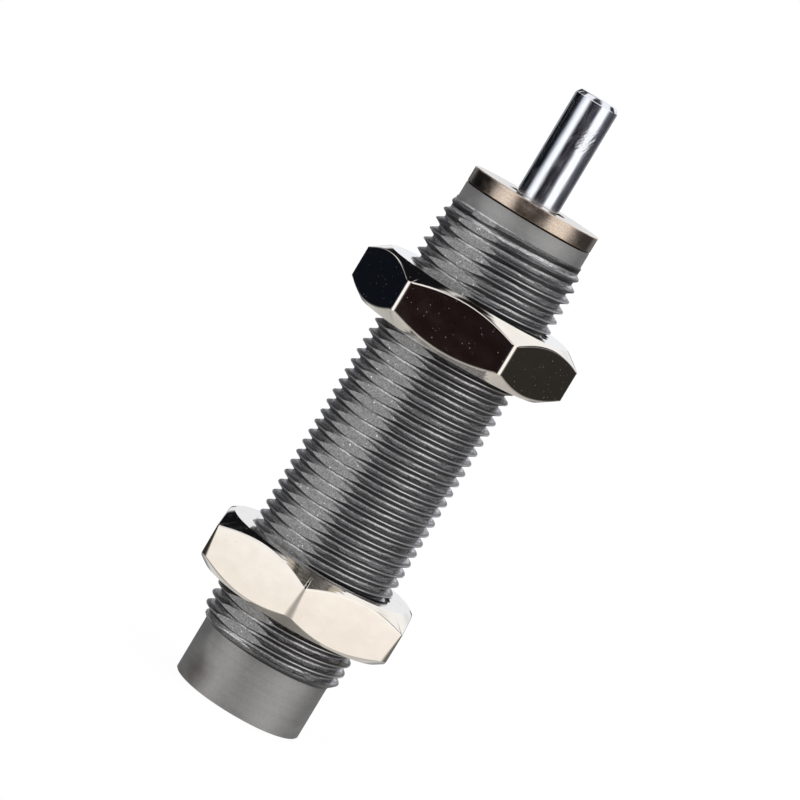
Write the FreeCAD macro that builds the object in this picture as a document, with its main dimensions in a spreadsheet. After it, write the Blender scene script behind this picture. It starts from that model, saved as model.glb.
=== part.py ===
import FreeCAD, Part
import os
import re
import Sketcher

# Industrial shock absorber in millimetres.
# The axis of the whole part is +Z: the rear face of the outer tube is z = 0, the rod points up.
# Every outline below is a list of (radius, height) formulas, turned about that axis.

# Each driving size: value and what it is.
SIZES = {
    # outer tube
    "thread_dia": (20.0, "outside diameter of the body thread"),
    "thread_pitch": (1.5, "pitch of the body thread"),
    "thread_len": (62.3, "threaded length of the outer tube"),
    "rear_step": (1.05, "thread crest down to the plain rear end"),
    "rear_len": (7.7, "plain rear end, length"),
    "lead_len": (3.6, "taper that leads the thread in at the front, length"),
    "neck_step": (1.05, "thread crest down to the plain neck"),
    "neck_len": (2.2, "plain neck, length"),
    "edge_break": (0.2, "small chamfer on turned edges"),
    "flat_depth": (0.92, "depth of the milled flat below the thread crest"),
    "flat_angle": (240.5, "direction of the flat, degrees from +X"),
    "tube_bore": (15.2, "bore of the outer tube"),
    "rear_wall": (6.0, "thickness of the closed rear end"),
    "seat_depth": (1.0, "recess in the rear wall that centres the inner tube"),
    # filling hole, ball and set screw
    "screw_dia": (4.0, "set screw, diameter"),
    "screw_len": (2.5, "set screw, length"),
    "screw_sink": (0.4, "set screw below the rear face"),
    "socket_flats": (2.0, "hexagon socket across flats"),
    "socket_depth": (1.4, "hexagon socket depth"),
    "ball_dia": (2.0, "filling ball, diameter"),
    "port_dia": (1.2, "oil passage in front of the ball"),
    # clearances
    "static_gap": (0.02, "radial gap between parts that don't move"),
    "running_gap": (0.04, "radial gap of the rod in its bearing and seals"),
    "piston_gap": (0.05, "radial gap of the piston in the inner tube"),
    "thread_gap": (0.06, "radial gap of a nut on the thread"),
    "stop_gap": (0.3, "piston to bearing with the rod right out"),
    # inner tube
    "inner_tube_bore": (10.4, "inner tube, bore"),
    "inner_tube_wall": (1.2, "inner tube, wall"),
    "metering_dia": (0.8, "metering hole"),
    "metering_first": (1.2, "first metering hole behind the piston"),
    "metering_step": (3.6, "distance between the first two metering holes"),
    "metering_ratio": (0.8, "each distance as a share of the one before"),
    "return_dia": (1.4, "return port in the inner tube"),
    # rod
    "rod_dia": (6.0, "piston rod"),
    "rod_reach": (15.05, "rod in front of the stopper"),
    "rod_tip_chamfer": (0.5, "radial chamfer at the rod's tip"),
    "rod_tip_len": (0.45, "length of that chamfer"),
    "tail_step": (0.75, "rod down to the tail that carries the piston"),
    # piston group
    "piston_len": (7.2, "piston length"),
    "ring_width": (1.7, "check ring width"),
    "ring_depth": (1.0, "check ring groove depth"),
    "ring_play": (0.15, "axial play of the check ring on each side"),
    "ring_slit": (0.8, "slit in the split rings"),
    "passage_dia": (1.0, "return passage along the piston"),
    "guide_side_gap": (0.5, "spring guide flange to the inner tube"),
    "guide_flange": (1.5, "spring guide flange thickness"),
    "guide_hub_wall": (0.85, "spring guide hub, wall"),
    "guide_hub_len": (2.5, "spring guide hub length"),
    "lock_ring_wall": (1.15, "lock ring, radial width"),
    "lock_ring_width": (0.7, "lock ring, thickness"),
    "lock_groove_depth": (0.4, "depth of the lock ring's groove in the tail"),
    "tail_end_len": (0.8, "tail behind the lock ring"),
    # return spring
    "wire_dia": (0.9, "spring wire"),
    "spring_side_gap": (0.6, "spring to the inner tube"),
    "coil_turns": (7.5, "spring turns"),
    "spring_gap": (0.05, "gap at each spring end"),
    # bearing, foam and seal
    "boss_len": (1.9, "bearing nose that stops the piston"),
    "boss_wall": (1.16, "bearing nose, wall"),
    "plug_len": (2.6, "bearing length inside the inner tube"),
    "flange_len": (3.0, "bearing flange thickness"),
    "oil_groove": (1.2, "width of the oil grooves in the bearing flange"),
    "oil_groove_depth": (1.4, "depth of those grooves"),
    "foam_len": (8.0, "accumulator foam, length with its end gaps"),
    "bearing_wall": (1.5, "bearing neck inside the foam, wall"),
    "foam_gap": (0.15, "gap around the foam"),
    "holder_len": (8.8, "seal holder, length"),
    "holder_floor": (2.0, "seal holder, floor thickness"),
    "seal_width": (2.34, "rod seal, radial width"),
    "seal_len": (4.0, "rod seal, length"),
    "seal_lip": (0.6, "rod seal, lip thickness at its mouth"),
    "seal_slot": (1.6, "rod seal, depth of its mouth"),
    "o_ring_width": (1.1, "squeezed O-ring, width"),
    "o_ring_depth": (0.9, "squeezed O-ring, radial depth"),
    "o_ring_round": (0.25, "squeezed O-ring, flattened corners"),
    # stopper and scraper
    "stopper_flange": (2.2, "stopper flange, thickness"),
    "stopper_spigot": (5.0, "stopper length inside the tube"),
    "mouth_gap": (1.0, "rod to the wall of the stopper's mouth"),
    "stopper_gap": (0.25, "rod to the stopper's bore behind the scraper"),
    "mouth_depth": (3.7, "depth of the mouth"),
    "scraper_len": (2.4, "scraper, length with its lip"),
    "scraper_lip": (0.9, "scraper, length of the lip alone"),
    # nuts
    "nut_flats": (27.0, "nut across flats"),
    "nut_height": (7.6, "nut height"),
    "nut_face_inset": (0.57, "flat of the nut in to the flat ring on its face"),
    "nut_bevel": (35.0, "nut chamfer, degrees"),
    "front_nut_z": (52.7, "front nut, rear face"),
    "front_nut_turn": (56.35, "front nut, direction of a corner"),
    "rear_nut_z": (13.8, "rear nut, rear face"),
    "rear_nut_turn": (30.0, "rear nut, direction of a corner"),
}

# Lengths and radii that follow from the sizes, from the rear to the front.
PLACES = {
    "thread_r": "thread_dia / 2",
    "thread_depth": "0.6134 * thread_pitch",
    "rear_r": "thread_r - rear_step",
    "neck_r": "thread_r - neck_step",
    "bore_r": "tube_bore / 2",
    "thread_end": "rear_len + thread_len",
    "tube_end": "thread_end + neck_len",
    "spring_seat": "rear_wall - seat_depth",
    "ball_z": "screw_sink + screw_len + ball_dia / 2",
    "stopper_back": "tube_end - stopper_spigot",
    "stopper_face": "tube_end + stopper_flange",
    "mouth_floor": "stopper_face - mouth_depth",
    "rod_tip": "stopper_face + rod_reach",
    "holder_back": "stopper_back - holder_len",
    "pocket_floor": "holder_back + holder_floor",
    "seal_end": "pocket_floor + static_gap + seal_len",
    "foam_back": "holder_back - foam_len",
    "flange_back": "foam_back - flange_len",
    "boss_back": "flange_back - plug_len - boss_len",
    "piston_front": "boss_back - stop_gap",
    "piston_back": "piston_front - piston_len",
    "guide_back": "piston_back - guide_flange",
    "hub_back": "guide_back - guide_hub_len",
    "lock_back": "hub_back - lock_ring_width - ring_play",
    "tail_back": "lock_back - tail_end_len",
    "rod_r": "rod_dia / 2",
    "tail_r": "rod_r - tail_step",
    "mouth_r": "rod_r + mouth_gap",
    "seal_bore": "rod_r + running_gap",
    "pocket_r": "seal_bore + seal_width + static_gap",
    "press_r": "bore_r - static_gap",
    "inner_bore_r": "inner_tube_bore / 2",
    "inner_tube_r": "inner_bore_r + inner_tube_wall",
    "piston_r": "inner_bore_r - piston_gap",
    "coil_r": "inner_bore_r - spring_side_gap - wire_dia / 2",
    "hub_r": "tail_r + guide_hub_wall",
    "groove_r": "tail_r - lock_groove_depth",
    "boss_r": "seal_bore + boss_wall",
    "bearing_r": "seal_bore + bearing_wall",
    "ring_z": "piston_back + piston_len / 2 - ring_width / 2",
}

doc = FreeCAD.newDocument("ShockAbsorber")
sheet = doc.addObject("Spreadsheet::Sheet", "Sizes")
for row, (alias, (size, note)) in enumerate(SIZES.items(), start=1):
    sheet.set(f"A{row}", note)
    sheet.set(f"B{row}", str(size))
    sheet.setAlias(f"B{row}", alias)
doc.recompute()


def formula(text):
    """The expression for a formula, with each name written out down to the sheet's cells."""
    def expand(match):
        word = match.group(0)
        if word in PLACES:
            return "(" + formula(PLACES[word]) + ")"
        if word in SIZES:
            return "Sizes." + word
        return word
    return re.sub(r"[a-z][a-z_]*[a-z]", expand, text)


def value(text):
    return float(sheet.evalExpression(formula(text)))


def bind(thing, **properties):
    """Ties properties of a document object to formulas."""
    for name, text in properties.items():
        thing.setExpression(name, formula(text))


def raise_to(thing, height, turn="0"):
    """Places a sub-part at a height on the axis, turned about it."""
    thing.setExpression("Placement.Base.z", formula(height))
    if turn != "0":
        thing.setExpression("Placement.Rotation.Angle", formula(turn))


def origin_plane(body, role):
    return next(plane for plane in body.Origin.OriginFeatures if plane.Role == role)


def new_sketch(body, name, role, height="0", turn="0"):
    """An empty sketch on one of the body's planes, lifted and turned about that plane's normal."""
    sketch = body.newObject("Sketcher::SketchObject", name)
    sketch.AttachmentSupport = (origin_plane(body, role), [""])
    sketch.MapMode = "FlatFace"
    if height != "0":
        sketch.setExpression("AttachmentOffset.Base.z", formula(height))
    if turn != "0":
        sketch.setExpression("AttachmentOffset.Rotation.Angle", formula(turn))
    return sketch


def fix_point(sketch, geometry, point, across, up):
    """Holds a sketch point at a distance across and up from the sketch's origin."""
    for kind, text, axis in (("DistanceX", across, -2), ("DistanceY", up, -1)):
        if text == "0":
            sketch.addConstraint(Sketcher.Constraint("PointOnObject", geometry, point, axis))
            continue
        constraint = Sketcher.Constraint(kind, -1, 1, geometry, point, value(text))
        index = sketch.addConstraint(constraint)
        sketch.setExpression(f"Constraints[{index}]", formula(text))


def draw_outline(sketch, points):
    """A closed chain of lines through the given points."""
    corners = [FreeCAD.Vector(value(across), value(up), 0) for across, up in points]
    first = sketch.GeometryCount
    count = len(corners)
    for index, corner in enumerate(corners):
        sketch.addGeometry(Part.LineSegment(corner, corners[(index + 1) % count]), False)
    for index in range(count):
        following = first + (index + 1) % count
        sketch.addConstraint(Sketcher.Constraint("Coincident", first + index, 2, following, 1))
    for index, (across, up) in enumerate(points):
        fix_point(sketch, first + index, 1, across, up)


def draw_circle(sketch, across, up, radius):
    centre = FreeCAD.Vector(value(across), value(up), 0)
    circle = Part.Circle(centre, FreeCAD.Vector(0, 0, 1), value(radius))
    index = sketch.addGeometry(circle, False)
    fix_point(sketch, index, 3, across, up)
    constraint = sketch.addConstraint(Sketcher.Constraint("Radius", index, value(radius)))
    sketch.setExpression(f"Constraints[{constraint}]", formula(radius))


def hexagon(flats):
    """Corner points of a hexagon of a given size across flats, the first on the X axis."""
    corner = f"{flats} / sqrt(3)"
    return [(f"{corner} * cos({60 * index})", f"{corner} * sin({60 * index})") for index in range(6)]


def turned(name, points):
    """A body turned about its Z axis from an outline of (radius, height)."""
    body = doc.addObject("PartDesign::Body", name)
    sketch = new_sketch(body, name + "_profile", "XZ_Plane")
    draw_outline(sketch, points)
    solid = body.newObject("PartDesign::Revolution", name + "_turned")
    solid.Profile = sketch
    solid.ReferenceAxis = (sketch, ["V_Axis"])
    solid.Angle = 360
    return body


def pocket(body, sketch, length, reverse=False):
    """Cuts a sketch into its body. Reversed cuts go along the sketch's normal."""
    cut = body.newObject("PartDesign::Pocket", sketch.Name + "_cut")
    cut.Profile = sketch
    cut.Reversed = reverse
    bind(cut, Length=length)
    return cut


def repeat_around(body, feature, count):
    """Repeats a feature evenly about the body's Z axis."""
    pattern = body.newObject("PartDesign::PolarPattern", feature.Name + "_pattern")
    pattern.Originals = [feature]
    pattern.Axis = (feature.Profile[0], ["N_Axis"])
    pattern.Angle = 360
    pattern.Occurrences = count
    body.Tip = pattern
    return pattern


def make_outer_tube():
    """Threaded tube, closed at the rear, with a flat milled along the whole thread."""
    root = "thread_r - thread_depth"
    screw_r = "screw_dia / 2 + static_gap"
    ball_r = "ball_dia / 2 + static_gap"
    body = turned("outer_tube", [
        ("port_dia / 2", "spring_seat"),
        ("inner_tube_r + static_gap", "spring_seat"),
        ("inner_tube_r + static_gap", "rear_wall"),
        ("bore_r", "rear_wall"),
        ("bore_r", "tube_end"),
        ("neck_r", "tube_end"),
        ("neck_r", "thread_end"),
        (root, "thread_end"),
        ("thread_r", "thread_end - lead_len"),
        ("thread_r", "rear_len + thread_depth"),
        (root, "rear_len"),
        ("rear_r", "rear_len"),
        ("rear_r", "edge_break"),
        ("rear_r - edge_break", "0"),
        (f"{screw_r} + edge_break", "0"),
        (screw_r, "edge_break"),
        (screw_r, "ball_z - ball_dia / 2"),
        (ball_r, "ball_z - ball_dia / 2"),
        (ball_r, f"ball_z + ({ball_r}) * (sqrt(2) - 1)"),
        ("port_dia / 2", f"ball_z + ({ball_r}) * sqrt(2) - port_dia / 2"),
    ])
    flat = new_sketch(body, "milled_flat", "XY_Plane", "rear_len", "flat_angle")
    inside = "thread_r - flat_depth"
    outside = "thread_r + flat_depth"
    draw_outline(flat, [
        (inside, "-thread_r"),
        (outside, "-thread_r"),
        (outside, "thread_r"),
        (inside, "thread_r"),
    ])
    pocket(body, flat, "thread_len", reverse=True)
    return body


def make_inner_tube():
    """Pressure tube with a row of metering holes on +X and four return ports at the front."""
    body = turned("inner_tube", [
        ("inner_bore_r", "spring_seat"),
        ("inner_tube_r", "spring_seat"),
        ("inner_tube_r", "flange_back"),
        ("inner_bore_r", "flange_back"),
    ])
    metering = new_sketch(body, "metering_holes", "YZ_Plane")
    for index in range(6):
        travelled = f"metering_step * (1 - metering_ratio ^ {index}) / (1 - metering_ratio)"
        draw_circle(metering, "0", f"piston_back - metering_first - {travelled}", "metering_dia / 2")
    pocket(body, metering, "inner_tube_r * 2", reverse=True)
    for name, role in (("return_ports", "XZ_Plane"), ("side_ports", "YZ_Plane")):
        ports = new_sketch(body, name, role)
        draw_circle(ports, "0", "boss_back + boss_len / 2", "return_dia / 2")
        pocket(body, ports, "inner_tube_r * 4").Midplane = True
    return body


def make_piston_rod():
    """Rod with a chamfered tip, and a turned-down tail with a groove for the lock ring."""
    return turned("piston_rod", [
        ("0", "tail_back"),
        ("tail_r - edge_break", "tail_back"),
        ("tail_r", "tail_back + edge_break"),
        ("tail_r", "lock_back - ring_play"),
        ("groove_r", "lock_back - ring_play"),
        ("groove_r", "hub_back"),
        ("tail_r", "hub_back"),
        ("tail_r", "piston_front"),
        ("rod_r", "piston_front"),
        ("rod_r", "rod_tip - rod_tip_len"),
        ("rod_r - rod_tip_chamfer", "rod_tip"),
        ("0", "rod_tip"),
    ])


def make_piston():
    """Piston on the rod's tail, with a groove for the check ring and passages along it."""
    ring_groove_r = "piston_r - ring_depth"
    bore = "tail_r + static_gap"
    body = turned("piston", [
        (bore, "piston_back"),
        ("piston_r - edge_break", "piston_back"),
        ("piston_r", "piston_back + edge_break"),
        ("piston_r", "ring_z - ring_play"),
        (ring_groove_r, "ring_z - ring_play"),
        (ring_groove_r, "ring_z + ring_width + ring_play"),
        ("piston_r", "ring_z + ring_width + ring_play"),
        ("piston_r", "piston_front - edge_break"),
        ("piston_r - edge_break", "piston_front"),
        (bore, "piston_front"),
    ])
    passage = new_sketch(body, "passage", "XY_Plane", "ring_z")
    draw_circle(passage, "(tail_r + piston_r) / 2", "0", "passage_dia / 2")
    repeat_around(body, pocket(body, passage, "piston_len", reverse=True), 4)
    return body


def slit(body, name, height, width):
    """Cuts a radial slit through one side of a ring, towards +X."""
    sketch = new_sketch(body, name, "XY_Plane", height)
    draw_outline(sketch, [
        ("0", "-ring_slit / 2"),
        ("piston_r", "-ring_slit / 2"),
        ("piston_r", "ring_slit / 2"),
        ("0", "ring_slit / 2"),
    ])
    pocket(body, sketch, width, reverse=True)


def make_piston_ring():
    """Split check ring, loose in the piston's groove."""
    inside = "piston_r - ring_depth + ring_play"
    body = turned("piston_ring", [
        (inside, "ring_z"),
        ("piston_r", "ring_z"),
        ("piston_r", "ring_z + ring_width"),
        (inside, "ring_z + ring_width"),
    ])
    slit(body, "piston_ring_slit", "ring_z", "ring_width")
    return body


def make_spring_guide():
    """Flanged collar behind the piston: the flange carries the spring, the hub centres it."""
    return turned("spring_guide", [
        ("tail_r + static_gap", "hub_back"),
        ("hub_r - edge_break", "hub_back"),
        ("hub_r", "hub_back + edge_break"),
        ("hub_r", "guide_back"),
        ("inner_bore_r - guide_side_gap", "guide_back"),
        ("inner_bore_r - guide_side_gap", "piston_back"),
        ("tail_r + static_gap", "piston_back"),
    ])


def make_lock_ring():
    """Split snap ring in the tail's groove, against the spring guide."""
    body = turned("lock_ring", [
        ("groove_r + static_gap", "lock_back"),
        ("groove_r + lock_ring_wall", "lock_back"),
        ("groove_r + lock_ring_wall", "lock_back + lock_ring_width"),
        ("groove_r + static_gap", "lock_back + lock_ring_width"),
    ])
    slit(body, "lock_ring_slit", "lock_back", "lock_ring_width")
    return body


def make_return_spring():
    """Coil spring between the rear wall and the spring guide, its wire drawn with six sides."""
    rise = "guide_back - spring_seat - wire_dia - 2 * spring_gap"
    spine = doc.addObject("Part::Helix", "coil_line")
    bind(spine, Radius="coil_r", Height=rise, Pitch=f"({rise}) / coil_turns")
    wire = doc.addObject("Part::RegularPolygon", "wire_section")
    wire.Polygon = 6
    wire.Placement = FreeCAD.Placement(FreeCAD.Vector(), FreeCAD.Rotation(FreeCAD.Vector(1, 0, 0), 90))
    bind(wire, Circumradius="wire_dia / 2")
    wire.setExpression("Placement.Base.x", formula("coil_r"))
    spring = doc.addObject("Part::Sweep", "return_spring")
    spring.Sections = [wire]
    spring.Spine = (spine, ["Edge1"])
    spring.Solid = True
    spring.Frenet = True
    raise_to(spring, "spring_seat + spring_gap + wire_dia / 2")
    return spring


def gasket_groove(outside, bore, middle):
    """Outline points of an O-ring groove, cut into an outside wall that fits in a bore."""
    return [
        (outside, f"{middle} - o_ring_width / 2"),
        (f"{bore} - o_ring_depth", f"{middle} - o_ring_width / 2"),
        (f"{bore} - o_ring_depth", f"{middle} + o_ring_width / 2"),
        (outside, f"{middle} + o_ring_width / 2"),
    ]


def make_o_ring(name, bore, middle):
    """O-ring squeezed flat between its groove and the bore around it."""
    inside = f"{bore} - o_ring_depth + static_gap"
    outside = f"{bore} - static_gap"
    low = f"{middle} - o_ring_width / 2 + static_gap"
    high = f"{middle} + o_ring_width / 2 - static_gap"
    return turned(name, [
        (inside, f"{low} + o_ring_round"),
        (f"{inside} + o_ring_round", low),
        (f"{outside} - o_ring_round", low),
        (outside, f"{low} + o_ring_round"),
        (outside, f"{high} - o_ring_round"),
        (f"{outside} - o_ring_round", high),
        (f"{inside} + o_ring_round", high),
        (inside, f"{high} - o_ring_round"),
    ])


def make_rod_bearing():
    """Long bearing: nose and plug in the inner tube, grooved flange, neck inside the foam."""
    plug_r = "inner_bore_r - static_gap"
    body = turned("rod_bearing", [
        ("seal_bore", "boss_back"),
        ("boss_r - edge_break", "boss_back"),
        ("boss_r", "boss_back + edge_break"),
        ("boss_r", "boss_back + boss_len"),
        (plug_r, "boss_back + boss_len"),
        *gasket_groove(plug_r, "inner_bore_r", "flange_back - plug_len / 2"),
        (plug_r, "flange_back"),
        ("press_r", "flange_back"),
        ("press_r", "foam_back"),
        ("bearing_r", "foam_back"),
        ("bearing_r", "holder_back"),
        ("seal_bore", "holder_back"),
    ])
    groove = new_sketch(body, "oil_groove", "XY_Plane", "flange_back")
    draw_outline(groove, [
        ("press_r - oil_groove_depth", "-oil_groove / 2"),
        ("tube_bore", "-oil_groove / 2"),
        ("tube_bore", "oil_groove / 2"),
        ("press_r - oil_groove_depth", "oil_groove / 2"),
    ])
    repeat_around(body, pocket(body, groove, "flange_len", reverse=True), 4)
    return body


def make_accumulator_foam():
    """Foam sleeve around the bearing's neck."""
    return turned("accumulator_foam", [
        ("bearing_r + foam_gap", "foam_back + foam_gap"),
        ("bore_r - foam_gap", "foam_back + foam_gap"),
        ("bore_r - foam_gap", "holder_back - foam_gap"),
        ("bearing_r + foam_gap", "holder_back - foam_gap"),
    ])


def make_seal_holder():
    """Cup that holds the rod seal, with an O-ring groove outside."""
    return turned("seal_holder", [
        ("seal_bore", "holder_back"),
        ("press_r", "holder_back"),
        *gasket_groove("press_r", "bore_r", "holder_back + holder_len / 2"),
        ("press_r", "stopper_back"),
        ("pocket_r", "stopper_back"),
        ("pocket_r", "pocket_floor"),
        ("seal_bore", "pocket_floor"),
    ])


def make_rod_seal():
    """Lip seal with its mouth towards the oil."""
    low = "pocket_floor + static_gap"
    outside = "pocket_r - static_gap"
    return turned("rod_seal", [
        ("seal_bore", low),
        ("seal_bore + seal_lip", low),
        (f"(seal_bore + {outside}) / 2", f"{low} + seal_slot"),
        (f"{outside} - seal_lip", low),
        (outside, low),
        (outside, "seal_end"),
        ("seal_bore", "seal_end"),
    ])


def make_stopper():
    """Bronze-coloured stopper: nose on the seal, spigot in the tube, flange as stop face."""
    bore = "rod_r + stopper_gap"
    nose_r = "pocket_r - static_gap"
    return turned("stopper", [
        (bore, "seal_end + static_gap"),
        (nose_r, "seal_end + static_gap"),
        (nose_r, "stopper_back"),
        ("press_r", "stopper_back"),
        ("press_r", "tube_end"),
        ("neck_r", "tube_end"),
        ("neck_r", "stopper_face - edge_break / 2"),
        ("neck_r - edge_break / 2", "stopper_face"),
        ("mouth_r + edge_break / 2", "stopper_face"),
        ("mouth_r", "stopper_face - edge_break / 2"),
        ("mouth_r", "mouth_floor"),
        (bore, "mouth_floor"),
    ])


def make_scraper():
    """Rubber wiper in the stopper's mouth, with a lip that leans on the rod."""
    outside = "mouth_r - static_gap"
    low = "mouth_floor + static_gap"
    return turned("scraper", [
        ("seal_bore", low),
        (outside, low),
        (outside, f"{low} + scraper_len - scraper_lip"),
        ("(seal_bore + mouth_r) / 2", f"{low} + scraper_len - scraper_lip"),
        ("seal_bore + static_gap", f"{low} + scraper_len"),
        ("seal_bore", f"{low} + scraper_len"),
    ])


def make_fill_ball():
    """Steel ball on the oil passage."""
    ball = doc.addObject("Part::Sphere", "fill_ball")
    bind(ball, Radius="ball_dia / 2")
    raise_to(ball, "ball_z")
    return ball


def make_fill_screw():
    """Socket set screw behind the ball."""
    top = "screw_sink + screw_len"
    body = turned("fill_screw", [
        ("0", "screw_sink"),
        ("screw_dia / 2 - edge_break", "screw_sink"),
        ("screw_dia / 2", "screw_sink + edge_break"),
        ("screw_dia / 2", f"{top} - edge_break"),
        ("screw_dia / 2 - edge_break", top),
        ("0", top),
    ])
    socket = new_sketch(body, "hexagon_socket", "XY_Plane", "screw_sink")
    draw_outline(socket, hexagon("socket_flats"))
    pocket(body, socket, "socket_depth", reverse=True)
    return body


def make_nut(name, height, turn):
    """Hexagon nut, chamfered on both faces, bored to slide on the thread's crests."""
    body = doc.addObject("PartDesign::Body", name)
    outline = new_sketch(body, name + "_hexagon", "XY_Plane")
    draw_outline(outline, hexagon("nut_flats"))
    block = body.newObject("PartDesign::Pad", name + "_block")
    block.Profile = outline
    bind(block, Length="nut_height")
    bore_r = "thread_r + thread_gap"
    countersink = f"{bore_r} + edge_break"
    bore = new_sketch(body, name + "_bore", "XZ_Plane")
    draw_outline(bore, [
        ("0", "0"),
        (countersink, "0"),
        (bore_r, "edge_break"),
        (bore_r, "nut_height - edge_break"),
        (countersink, "nut_height"),
        ("0", "nut_height"),
    ])
    face_r = "nut_flats / 2 - nut_face_inset"
    drop = f"(nut_flats - ({face_r})) * tan(nut_bevel)"
    low_bevel = new_sketch(body, name + "_low_bevel", "XZ_Plane")
    draw_outline(low_bevel, [(face_r, "0"), ("nut_flats", "0"), ("nut_flats", drop)])
    high_bevel = new_sketch(body, name + "_high_bevel", "XZ_Plane")
    draw_outline(high_bevel, [
        (face_r, "nut_height"),
        ("nut_flats", f"nut_height - {drop}"),
        ("nut_flats", "nut_height"),
    ])
    for sketch in (bore, low_bevel, high_bevel):
        cut = body.newObject("PartDesign::Groove", sketch.Name + "_cut")
        cut.Profile = sketch
        cut.ReferenceAxis = (sketch, ["V_Axis"])
        cut.Angle = 360
    raise_to(body, height, turn)
    return body


sub_parts = [
    make_outer_tube(),
    make_inner_tube(),
    make_piston_rod(),
    make_piston(),
    make_piston_ring(),
    make_spring_guide(),
    make_lock_ring(),
    make_return_spring(),
    make_rod_bearing(),
    make_o_ring("bearing_gasket", "inner_bore_r", "flange_back - plug_len / 2"),
    make_accumulator_foam(),
    make_seal_holder(),
    make_rod_seal(),
    make_o_ring("holder_gasket", "bore_r", "holder_back + holder_len / 2"),
    make_stopper(),
    make_scraper(),
    make_fill_ball(),
    make_fill_screw(),
    make_nut("front_nut", "front_nut_z", "front_nut_turn"),
    make_nut("rear_nut", "rear_nut_z", "rear_nut_turn"),
]
doc.recompute()

for thing in doc.Objects:
    if "Invalid" in thing.State or "Error" in thing.State:
        raise RuntimeError(f"{thing.Name} did not build: {thing.State}")
for sub_part in sub_parts:
    if sub_part.Shape.isNull() or not sub_part.Shape.isValid():
        raise RuntimeError(f"{sub_part.Label} has no valid shape")

os.makedirs("parts", exist_ok=True)
for sub_part in sub_parts:
    sub_part.Shape.exportStep(f"parts/{sub_part.Label}.step")
    box = sub_part.Shape.BoundBox
    print(f"{sub_part.Label:18} {sub_part.Shape.Volume:9.2f} mm3  z {box.ZMin:.2f} to {box.ZMax:.2f}")
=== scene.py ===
import math

import bmesh
import bpy
from mathutils import Matrix, Vector


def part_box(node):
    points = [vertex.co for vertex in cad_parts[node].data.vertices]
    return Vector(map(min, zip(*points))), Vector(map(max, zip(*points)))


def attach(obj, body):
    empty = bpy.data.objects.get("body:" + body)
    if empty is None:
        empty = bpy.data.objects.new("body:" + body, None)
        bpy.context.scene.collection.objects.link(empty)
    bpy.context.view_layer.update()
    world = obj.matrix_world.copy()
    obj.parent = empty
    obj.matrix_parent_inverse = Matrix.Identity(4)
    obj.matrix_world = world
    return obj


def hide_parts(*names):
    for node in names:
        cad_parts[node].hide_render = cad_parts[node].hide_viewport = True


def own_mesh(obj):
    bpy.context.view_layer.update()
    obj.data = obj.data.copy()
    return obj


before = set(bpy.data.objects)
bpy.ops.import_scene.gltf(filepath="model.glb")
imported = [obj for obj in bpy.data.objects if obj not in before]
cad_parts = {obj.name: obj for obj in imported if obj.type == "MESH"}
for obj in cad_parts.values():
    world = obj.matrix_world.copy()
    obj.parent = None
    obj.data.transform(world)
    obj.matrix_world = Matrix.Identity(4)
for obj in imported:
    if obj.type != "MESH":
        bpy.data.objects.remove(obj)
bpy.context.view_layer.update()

# Industrial shock absorber, axis +Z, rear face at z = 0. Sizes below are in millimetres.
mm = 0.001
print("frame loaded")


def linear(hexColour):  # sRGB hex to a linear colour
    channels = [int(hexColour[i:i + 2], 16) / 255 for i in (1, 3, 5)]
    lit = [c / 12.92 if c <= 0.04045 else ((c + 0.055) / 1.055) ** 2.4 for c in channels]
    return (lit[0], lit[1], lit[2], 1.0)


# adds a shader node: an input that is a socket is linked, any other value is set
def addNode(tree, kind, inputs=None, **settings):
    node = tree.nodes.new("ShaderNode" + kind)
    for name, value in settings.items():
        setattr(node, name, value)
    for name, value in (inputs or {}).items():
        if isinstance(value, bpy.types.NodeSocket):
            tree.links.new(value, node.inputs[name])
        else:
            node.inputs[name].default_value = value
    return node


def fillRamp(node, stops):
    ramp = node.color_ramp
    while len(ramp.elements) > 1:
        ramp.elements.remove(ramp.elements[-1])
    ramp.elements[0].position = stops[0][0]
    ramp.elements[0].color = linear(stops[0][1])
    for position, colour in stops[1:]:
        ramp.elements.new(position).color = linear(colour)


def newMaterial(name):
    material = bpy.data.materials.new(name)
    material.use_nodes = True
    material.node_tree.nodes.clear()
    return material, material.node_tree


def finish(tree, shader):
    addNode(tree, "OutputMaterial", {"Surface": shader.outputs[0]})


# camera
cameraView = {
    "place": (0.0001, -0.4773, 0.0968),  # metres
    "yaw": -0.2505,  # degrees, to the left of +Y
    "pitch": 6.314,  # looking down
    "lean": 30.97,  # the photograph is turned, so the rod leans to the right
    "lens": 170.8,
}


def placeCamera(spec):
    yaw = math.radians(spec["yaw"])
    pitch = math.radians(spec["pitch"])
    lean = math.radians(spec["lean"])
    ahead = Vector((math.sin(yaw) * math.cos(pitch), math.cos(yaw) * math.cos(pitch), -math.sin(pitch)))
    level = ahead.cross(Vector((0, 0, 1))).normalized()
    above = level.cross(ahead)
    right = math.cos(lean) * level + math.sin(lean) * above
    up = -math.sin(lean) * level + math.cos(lean) * above
    data = bpy.data.cameras.new("photoCamera")
    data.sensor_width = 36
    data.lens = spec["lens"]
    data.clip_start = 0.01
    data.clip_end = 20
    camera = bpy.data.objects.new("photoCamera", data)
    turn = Matrix((right, up, -ahead)).transposed().to_4x4()
    camera.matrix_world = Matrix.Translation(spec["place"]) @ turn
    bpy.context.scene.collection.objects.link(camera)
    bpy.context.scene.camera = camera


placeCamera(cameraView)
print("camera placed")

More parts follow.
